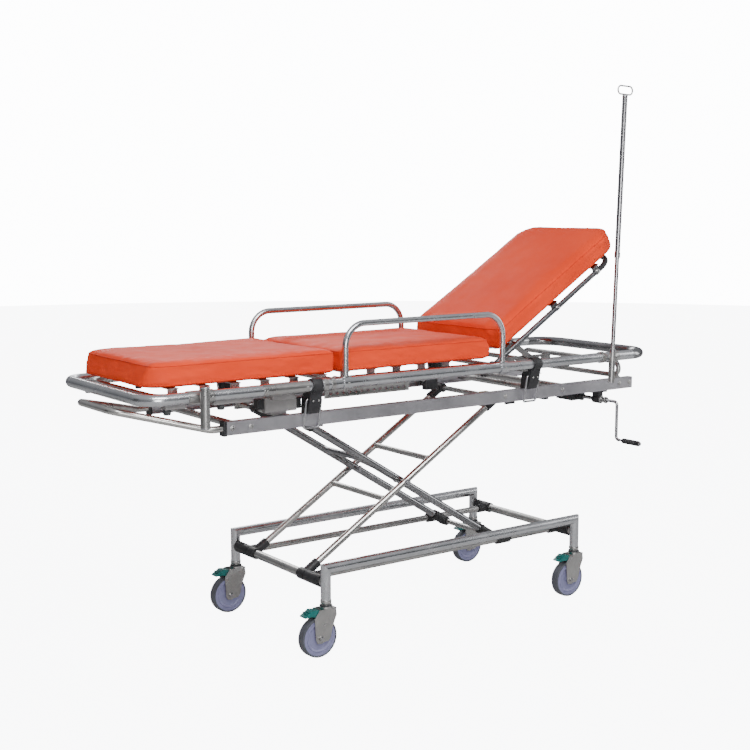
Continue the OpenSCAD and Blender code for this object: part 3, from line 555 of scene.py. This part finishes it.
def make_pad(node, local, attach, wrinkle_seed, ends=(None, None)):
    """A filled cover in place of a CAD pad. ends are flat contact planes in X, or None."""
    shape, low, high = pad_shape(node, local, 0.003)
    if ends[1] is not None:
        # The sloped end becomes upright, just short of the contact plane, its edges further back.
        reach, set_back, core = 0.033, 0.004, 0.02
        level = (low.z + high.z) / 2
        for v in shape.verts:
            if v.co.x > high.x - reach:
                eased = set_back if abs(v.co.z - level) > core else 0
                v.co.x = ends[1] - set_back - eased
        high.x = ends[1]
    if ends[0] is not None:
        low.x = ends[0]
    mesh = bpy.data.meshes.new(node + "_cover")
    shape.to_mesh(mesh)
    shape.free()
    obj = bpy.data.objects.new(node + "_cover", mesh)
    bpy.context.collection.objects.link(obj)
    remesh = obj.modifiers.new("remesh", "REMESH")
    remesh.mode = "VOXEL"
    remesh.voxel_size = PAD_VOXEL
    bpy.context.view_layer.update()
    solid = bpy.data.meshes.new_from_object(
        obj.evaluated_get(bpy.context.evaluated_depsgraph_get()))
    obj.modifiers.clear()
    obj.data = solid
    solid.name = node + "_cover"
    inflate(obj)
    shape = bmesh.new()
    shape.from_mesh(obj.data)
    bmesh.ops.smooth_vert(shape, verts=shape.verts, factor=0.5, use_axis_x=True, use_axis_y=True,
                          use_axis_z=True)
    bmesh.ops.subdivide_edges(shape, edges=shape.edges, cuts=1, use_grid_fill=True,
                              smooth=0.6)
    shape.normal_update()
    offset = Vector((wrinkle_seed * 3.1, wrinkle_seed * 1.7, 0))
    thick = high.z - low.z
    for v in shape.verts:
        height = (v.co.z - low.z) / thick
        side = 1 - abs(v.normal.z)
        edge_x = min(v.co.x - low.x, high.x - v.co.x)
        edge_y = min(v.co.y - low.y, high.y - v.co.y)
        rim = math.exp(-max(0.0, min(edge_x, edge_y)) / 0.05)
        folds = noise.fractal(Vector((v.co.x * 14, v.co.y * 14, v.co.z * 46)) + offset, 0.8, 2.1, 3)
        swell = noise.noise(Vector((v.co.x * 5, v.co.y * 5, 0)) + offset)
        amount = 0.0011 * folds * (0.25 + side + 0.8 * rim) + 0.0012 * swell * (1 - side)
        v.co += v.normal * amount * (0.35 if height < 0.2 else 1)
        v.co.z = max(v.co.z, low.z)
        if ends[0] is not None:
            v.co.x = max(v.co.x, ends[0])
        if ends[1] is not None:
            v.co.x = min(v.co.x, ends[1])
    shape.to_mesh(obj.data)
    tree = BVHTree.FromBMesh(shape)
    shape.free()
    obj.data.transform(local)
    obj.data.materials.clear()
    obj.data.materials.append(MATERIALS["pad_vinyl"])
    obj.data.shade_smooth()
    attach(obj)
    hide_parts(node)
    for label, height, radius in (("top", high.z - 0.0085, 0.0019),
                                  ("bottom", low.z + 0.008, 0.0016)):
        welt_line(node + "_welt_" + label, tree, low, high, height, radius, local, attach)


def welt_line(name, tree, low, high, height, radius, local, attach):
    """Sewn welt that follows the pad's side all the way round at one height."""
    middle = Vector(((low.x + high.x) / 2, (low.y + high.y) / 2, height))
    rays = 480
    points = []
    for i in range(rays):
        t = 2 * math.pi * i / rays
        hit = tree.ray_cast(middle, Vector((math.cos(t), math.sin(t), 0)))
        if hit[0] is not None:
            points.append(hit[0] + Vector((math.cos(t), math.sin(t), 0)) * 0.1 * radius)
    shape = bmesh.new()
    sweep(shape, resample(points, 0.009), radius, 8, closed=True)
    bmesh.ops.transform(shape, matrix=local, verts=shape.verts)
    obj = add_piece(name, shape, "welt", None, 80)
    attach(obj)


def resample(points, step):
    """Closed line through points, with even steps."""
    pts = points + points[:1]
    marks = [0.0]
    for a, b in zip(pts, pts[1:]):
        marks.append(marks[-1] + (b - a).length)
    count = max(12, round(marks[-1] / step))
    out = []
    k = 0
    for i in range(count):
        target = marks[-1] * i / count
        while marks[k + 1] < target:
            k += 1
        share = (target - marks[k]) / max(1e-9, marks[k + 1] - marks[k])
        out.append(pts[k].lerp(pts[k + 1], share))
    return out


# ---- CAD nodes that keep their shape ----

def dress_nodes():
    """Every CAD node gets the material of its slot in the record."""
    for part in frame["record"]["subparts"]:
        obj = NODES[part["node"]]
        obj.data.materials.clear()
        obj.data.materials.append(MATERIALS[part["material_slot"]])


set_camera()
set_light()
MATERIALS = make_materials()
set_stage()
dress_nodes()

for node, width, slot in (("clamp_saddles", 0.0022, "black_plastic"),
                          ("gearbox", 0.0022, "black_plastic"),
                          ("channel_end_caps", 0.0022, "black_plastic"),
                          ("top_sliders", 0.001, "black_plastic"),
                          ("lift_nut", 0.001, "brass"),
                          ("rail_tees", 0.0015, "black_plastic"),
                          ("outer_leg_tees", 0.0012, "black_plastic"),
                          ("inner_leg_tees", 0.0012, "black_plastic"),
                          ("slide_bushes", 0.0012, "black_plastic"),
                          ("ratchet_rack", 0.0005, "steel")):
    softened(node, width, slot)
for side, _ in SIDES:
    for end in ENDS:
        softened(f"pedal_{side}_{end}", 0.002, "teal_plastic")
        softened(f"fork_{side}_{end}", 0.0007, "steel")


# ---- Details ----

def weld_bead(shape, place, axis, radius, bead):
    """Uneven ring of weld metal round a joint."""
    start = Matrix.Translation(place) @ aim(axis)
    points = []
    turns = 64
    for i in range(turns):
        t = 2 * math.pi * i / turns
        wave = 1 + 0.035 * math.sin(17 * t) + 0.02 * math.sin(29 * t + 1)
        reach = radius * wave
        points.append(start @ Vector((reach * math.cos(t), reach * math.sin(t), 0)))
    sweep(shape, points, bead, 6, closed=True)


def castor_details(side, end):
    """Axle nuts, swivel screws, ball race, post ferrule, pedal ribs and wheel seals."""
    name = f"{side}_{end}"
    stem = Vector(JOINTS["swivel_" + name]["pos_m"])
    axle = Vector(JOINTS["roll_" + name]["pos_m"])
    low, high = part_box("fork_" + name)
    body = "castor_" + name
    shape = bmesh.new()
    hex_head(shape, (axle.x, low.y, axle.z), (0, -1, 0), 0.0072, 0.0034)
    hex_head(shape, (axle.x, high.y, axle.z), (0, 1, 0), 0.0072, 0.0034)
    for turn in range(3):
        t = math.radians(40 + 120 * turn)
        dome_head(shape, (stem.x + 0.0165 * math.cos(t), stem.y + 0.0165 * math.sin(t), 0.1549),
                  (0, 0, 1), 0.0026, 0.0018)
    add_piece("castor_bolts_" + name, shape, "chrome", body)
    shape = bmesh.new()
    lathe(shape, ring_profile(0.0157, 0.0036, 0.0040, 0.001), (stem.x, stem.y, 0.1553),
          (0, 0, 1), 48)
    add_piece("castor_race_" + name, shape, "rubber", body)
    shape = bmesh.new()
    post_foot = 0.164
    lathe(shape, ring_profile(0.0161, 0.0012, 0.009, 0.0005), (stem.x, stem.y, post_foot),
          (0, 0, 1), 48)
    add_piece("post_ferrule_" + name, shape, "steel", "base")
    low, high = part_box("pedal_" + name)
    shape = bmesh.new()
    ribs = 4
    for i in range(ribs):
        x = low.x + 0.008 + 0.0075 * i
        rounded_box(shape, (x, low.y + 0.004, high.z - 0.009 + 0.0012 * i),
                    (x + 0.003, high.y - 0.004, high.z - 0.0045 + 0.0012 * i), 0.0008)
    add_piece("pedal_ribs_" + name, shape, "teal_plastic", "pedal_" + name)
    shape = bmesh.new()
    for way in (NEAR, FAR):
        lathe(shape, [(0, 0), (0.0115, 0), (0.0125, 0.0006), (0.0125, 0.0014), (0, 0.0014)],
              (axle.x, axle.y + way * 0.0151, axle.z), (0, way, 0), 40)
    add_piece("wheel_seal_" + name, shape, "rubber", "wheel_" + name)


def tee_screws():
    """Set screws in the black tees, weld beads on the rungs and heads of the crossing bolts."""
    shape = bmesh.new()
    low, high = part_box("crossbars")
    x_foot, x_head = low.x + 0.014, high.x - 0.014
    level = (low.z + high.z) / 2
    for x in (x_foot, x_head):
        for y in (-0.236, -0.205, 0.205, 0.236):
            dome_head(shape, (x, y, level + 0.0183), (0, 0, 1), 0.0038, 0.0022)
    add_piece("base_tee_screws", shape, "steel", "base")
    crossing = Vector(JOINTS["leg_crossing"]["pos_m"])
    for body, pivot, y_at in (
            ("outer_leg", Vector(JOINTS["lift"]["pos_m"]), OUTER_LEG_Y),
            ("inner_leg", Vector(JOINTS["top_pivot"]["pos_m"]), INNER_LEG_Y)):
        along = (crossing - pivot).normalized()
        across = Vector((-along.z, 0, along.x))
        length = 2 * (crossing - pivot).length
        radius = 0.0155 if body == "outer_leg" else 0.017
        shape = bmesh.new()
        for s in (NEAR, FAR):
            for reach in (0.042, length - 0.042):
                at = pivot + along * reach + Vector((0, s * y_at, 0))
                for way in (1, -1):
                    dome_head(shape, at + across * way * (radius - 0.0003), across * way,
                              0.0034, 0.0022)
        add_piece(body + "_tee_screws", shape, "steel", body)
    pivot = Vector(JOINTS["lift"]["pos_m"])
    along = (crossing - pivot).normalized()
    length = 2 * (crossing - pivot).length
    shape = bmesh.new()
    for share in (0.40, 0.63):
        for s in (NEAR, FAR):
            at = pivot + along * length * share + Vector((0, s * (OUTER_LEG_Y - 0.0098), 0))
            weld_bead(shape, at, (0, 1, 0), 0.0099, 0.0014)
    add_piece("rung_welds", shape, "steel", "outer_leg", 180)
    shape = bmesh.new()
    for s in (NEAR, FAR):
        at = crossing + Vector((0, s * 0.168, 0))
        hex_head(shape, at, (0, s, 0), 0.0085, 0.005, 0.0115)
        at = crossing + Vector((0, s * 0.103, 0))
        hex_head(shape, at, (0, -s, 0), 0.0085, 0.006, 0.0115)
    add_piece("crossing_bolt_heads", shape, "chrome", "outer_leg")


def channel_screws():
    """Countersunk washers and socket screws in place of the plain channel bolts."""
    low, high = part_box("channel_bolts")
    shape = bmesh.new()
    for x in (-0.826, -0.764, 0.217, 0.480, 0.762, 0.812):
        for s in (NEAR, FAR):
            face = (x, s * 0.247, (low.z + high.z) / 2)
            lathe(shape, [(0, 0), (0.0078, 0), (0.0078, 0.0006), (0.0070, 0.0011), (0, 0.0011)],
                  face, (0, s, 0), 32)
            dome_head(shape, (x, s * 0.2481, face[2]), (0, s, 0), 0.0056, 0.0026)
    screws = add_piece("channel_socket_screws", shape, "steel", "carriage")
    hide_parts("channel_bolts")


def threaded_screw():
    """Lead screw with a real helical thread, in place of the plain rod."""
    low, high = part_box("lead_screw")
    axis = Vector(JOINTS["screw_turn"]["pos_m"])
    pitch, sides, step = 0.005, 24, 0.00125
    core, crest = 0.0049, 0.006
    shape = bmesh.new()
    count = int((high.x - low.x) / step)
    rings = []
    for i in range(count + 1):
        x = low.x + (high.x - low.x) * i / count
        ring = []
        for k in range(sides):
            t = 2 * math.pi * k / sides
            phase = (x / pitch - k / sides) % 1
            tooth = min(1, max(0, (0.5 - abs(phase - 0.5)) * 4 - 0.5))
            if x > high.x - 0.045:
                tooth = 1
            r = core + (crest - core) * tooth
            ring.append(shape.verts.new((x, axis.y + r * math.cos(t), axis.z + r * math.sin(t))))
        rings.append(ring)
    for a, b in zip(rings, rings[1:]):
        for k in range(sides):
            shape.faces.new((a[k], a[(k + 1) % sides], b[(k + 1) % sides], b[k]))
    shape.faces.new(rings[0])
    shape.faces.new(rings[-1])
    lathe(shape, ring_profile(0.0059, 0.006, 0.008, 0.001), (high.x - 0.032, axis.y, axis.z),
          (1, 0, 0), 32)
    screw = add_piece("lead_screw_thread", shape, "steel", "lead_screw", 50)
    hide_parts("lead_screw")


def gearbox_details():
    """Cover plate, its screws, the crank's bearing ring and the crank's collar."""
    crank = Vector(JOINTS["crank_turn"]["pos_m"])
    box_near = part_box("gearbox")[0].y
    shape = bmesh.new()
    face_z = 0.663
    rounded_box(shape, (crank.x - 0.026, -0.126, face_z - 0.0025),
                (crank.x + 0.026, -0.058, face_z + 0.001), 0.0012)
    add_piece("gearbox_cover", shape, "cast", "carriage")
    shape = bmesh.new()
    for dx in (-0.020, 0.020):
        for y in (-0.119, -0.065):
            dome_head(shape, (crank.x + dx, y, face_z - 0.0024), (0, 0, -1), 0.0035, 0.0022)
    hex_head(shape, (crank.x, -0.092, face_z - 0.0024), (0, 0, -1), 0.005, 0.004)
    add_piece("gearbox_screws", shape, "steel", "carriage")
    shape = bmesh.new()
    lathe(shape, ring_profile(0.0075, 0.0055, 0.004, 0.001), (crank.x, box_near - 0.0038, crank.z),
          (0, 1, 0), 36)
    add_piece("crank_bearing_ring", shape, "steel", "carriage")
    shape = bmesh.new()
    lathe(shape, ring_profile(0.0071, 0.0045, 0.008, 0.001), (crank.x, -0.272, crank.z),
          (0, 1, 0), 32)
    add_piece("crank_collar", shape, "steel", "crank")


def rail_fittings():
    """Under the main tubes feet, bars, latch casting and strut; on them screws and arm welds."""
    under = RAIL_Z - 0.017
    inset = RAIL_Y - 0.012
    feet = bmesh.new()
    bars = bmesh.new()
    for side, s in SIDES:
        for x in (-1.040, -0.872):
            lathe(feet, [(0, 0), (0.0085, 0), (0.011, -0.004), (0.011, -0.014), (0.009, -0.017),
                         (0, -0.017)], (x, s * inset, under - 0.010), (0, 0, 1), 28)
        rounded_box(bars, (-1.052, s * inset - 0.014, under - 0.011),
                    (-0.988, s * inset + 0.014, under + 0.003), 0.002)
        rounded_box(bars, (-0.902, s * inset - 0.014, under - 0.011),
                    (-0.775, s * inset + 0.014, under + 0.003), 0.002)
    add_piece("frame_feet", feet, "rubber", "carriage")
    add_piece("under_rail_bars", bars, "cast", "carriage")
    cast = bmesh.new()
    rounded_box(cast, (-0.716, -0.246, 0.760), (-0.606, -0.226, 0.806), 0.006)
    rounded_box(cast, (-0.700, -0.262, 0.798), (-0.622, -0.222, 0.818), 0.005)
    rounded_box(cast, (-0.690, -0.232, 0.750), (-0.632, -0.204, 0.784), 0.007)
    add_piece("latch_casting", cast, "cast", "carriage")
    latch = bmesh.new()
    rounded_box(latch, (-0.737, -0.240, 0.772), (-0.716, -0.214, 0.802), 0.004)
    rounded_box(latch, (-0.604, -0.242, 0.764), (-0.588, -0.216, 0.796), 0.004)
    add_piece("latch_blocks", latch, "black_plastic", "carriage")
    strut = bmesh.new()
    rounded_box(strut, (-0.094, -0.214, 0.772), (-0.046, -0.190, 0.812), 0.005)
    add_piece("strut_block", strut, "black_plastic", "carriage")
    links = bmesh.new()
    for reach in (-0.085, 0.085):
        sweep(links, [(-0.070, -0.202, 0.790), (-0.070 + reach, -0.202, 0.836)], 0.005, 14)
    add_piece("strut_links", links, "steel", "carriage")
    screws = bmesh.new()
    for side, s in SIDES:
        for x in (-0.735, -0.597, -0.978, -0.912):
            dome_head(screws, (x, s * (RAIL_Y + 0.0184), RAIL_Z), (0, s, 0), 0.0030, 0.0018)
        for x in (-0.561, 0.321):
            for dx in (-0.010, 0.010):
                dome_head(screws, (x + dx, s * 0.2795, 0.788), (0, s, -0.15), 0.0034, 0.002)
    add_piece("rail_screws", screws, "steel", "carriage")
    for side, s in SIDES:
        body = "arm_" + side
        beads = bmesh.new()
        pins = bmesh.new()
        for x in (-0.451, 0.176):
            weld_bead(beads, (x, s * RAIL_Y, RAIL_Z + 0.0208), (0, 0, 1), 0.0103, 0.0013)
            dome_head(pins, (x, s * (RAIL_Y + 0.0203), RAIL_Z), (0, s, 0), 0.0034, 0.002)
        add_piece("arm_welds_" + side, beads, "steel", body, 180)
        add_piece("arm_pins_" + side, pins, "steel", body)


def pole_details():
    """Rims of the accessory socket; collar, weld bead and screw of the pole's sleeve."""
    foot = Matrix.Translation(Vector(JOINTS["pole_turn"]["pos_m"]))
    lean = foot @ Matrix.Rotation(POLE_LEAN, 4, "Y")
    up = lean.to_3x3() @ Vector((0, 0, 1))
    shape = bmesh.new()
    lathe(shape, ring_profile(0.0092, 0.0056, 0.005, 0.0015), (-0.945, -0.305, 0.8605),
          (0, 0, 1), 40)
    lathe(shape, [(0, 0), (0.0135, 0), (0.0145, 0.001), (0.0145, 0.004), (0, 0.004)],
          (-0.945, -0.305, 0.7462), (0, 0, 1), 40)
    add_piece("socket_rims", shape, "bright_tube", "carriage")
    shape = bmesh.new()
    lathe(shape, ring_profile(0.0059, 0.0036, 0.010, 0.002), lean @ Vector((0, 0, 0.891)), up, 36)
    weld_bead(shape, lean @ Vector((0, 0, 0.9005)), up, 0.0062, 0.0012)
    dome_head(shape, lean @ Vector((0, -0.0103, 0.356)), (0, -1, 0), 0.0032, 0.002)
    add_piece("sleeve_fittings", shape, "chrome", "iv_extension", 60)


def turned_grip():
    """Ribbed grip with rounded ends, in place of the plain tube."""
    low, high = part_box("crank_grip")
    x, z = (low.x + high.x) / 2, (low.z + high.z) / 2
    length = high.y - low.y
    bore, outer, groove, ribs = 0.0043, 0.0095, 0.0083, 7
    profile = [(bore, 0), (0.0075, 0), (0.0088, 0.0007), (outer, 0.003)]
    for i in range(ribs):
        at = 0.014 + (length - 0.030) * i / (ribs - 1)
        profile += [(outer, at - 0.0022), (groove, at - 0.0010), (groove, at + 0.0010),
                    (outer, at + 0.0022)]
    profile += [(outer, length - 0.003), (0.0088, length - 0.0007), (0.0075, length),
                (bore, length), (bore, 0)]
    shape = bmesh.new()
    lathe(shape, profile, (x, high.y, z), (0, -1, 0), 40)
    grip = add_piece("turned_grip", shape, "black_plastic", "crank_grip")
    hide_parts("crank_grip")


def backrest_details():
    """Black sleeves and rings on the head corners of the backrest tube, and bands."""
    local = back_matrix()
    reach, half, bend, tube = 0.655, 0.222, 0.070, 0.009
    sleeves = bmesh.new()
    rings = bmesh.new()
    for s in (NEAR, FAR):
        points = [(reach - bend - 0.018, s * half, 0)]
        for i in range(13):
            t = math.radians(90 * i / 12)
            points.append((reach - bend + bend * math.sin(t),
                           s * (half - bend + bend * math.cos(t)), 0))
        points.append((reach, s * (half - bend - 0.020), 0))
        sweep(sleeves, points, tube + 0.0009, 28)
        lathe(rings, ring_profile(tube - 0.0005, 0.0032, 0.014, 0.001),
              (reach - bend - 0.032, s * half, 0), (1, 0, 0), 40)
        lathe(rings, ring_profile(tube - 0.0005, 0.0022, 0.012, 0.0008),
              (0.330, s * half, 0), (1, 0, 0), 40)
        dome_head(rings, (0.336, s * (half + tube + 0.0012), 0), (0, s, 0), 0.0034, 0.0022)
    for shape, name, material, slot in (
            (sleeves, "backrest_sleeves", "black_plastic", "black_plastic"),
            (rings, "backrest_rings", "steel", "steel")):
        bmesh.ops.transform(shape, matrix=local, verts=shape.verts)
        add_piece(name, shape, material, "backrest")


for side, _ in SIDES:
    for end in ENDS:
        castor_details(side, end)
tee_screws()
channel_screws()
threaded_screw()
gearbox_details()
rail_fittings()
pole_details()
turned_grip()
backrest_details()

seat_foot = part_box("seat_pad")[0].x


def bend_at_knee(obj):
    """Bakes the leg pad's placement into its mesh."""
    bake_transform(obj)


make_pad("leg_pad", Matrix.Identity(4), bend_at_knee, 1, ends=(None, seat_foot - PAD_GAP))
make_pad("seat_pad", Matrix.Identity(4), lambda obj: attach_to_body(obj, "carriage"), 2,
         ends=(seat_foot + PAD_GAP, None))
make_pad("back_pad", back_matrix(), lambda obj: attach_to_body(obj, "backrest"), 3)
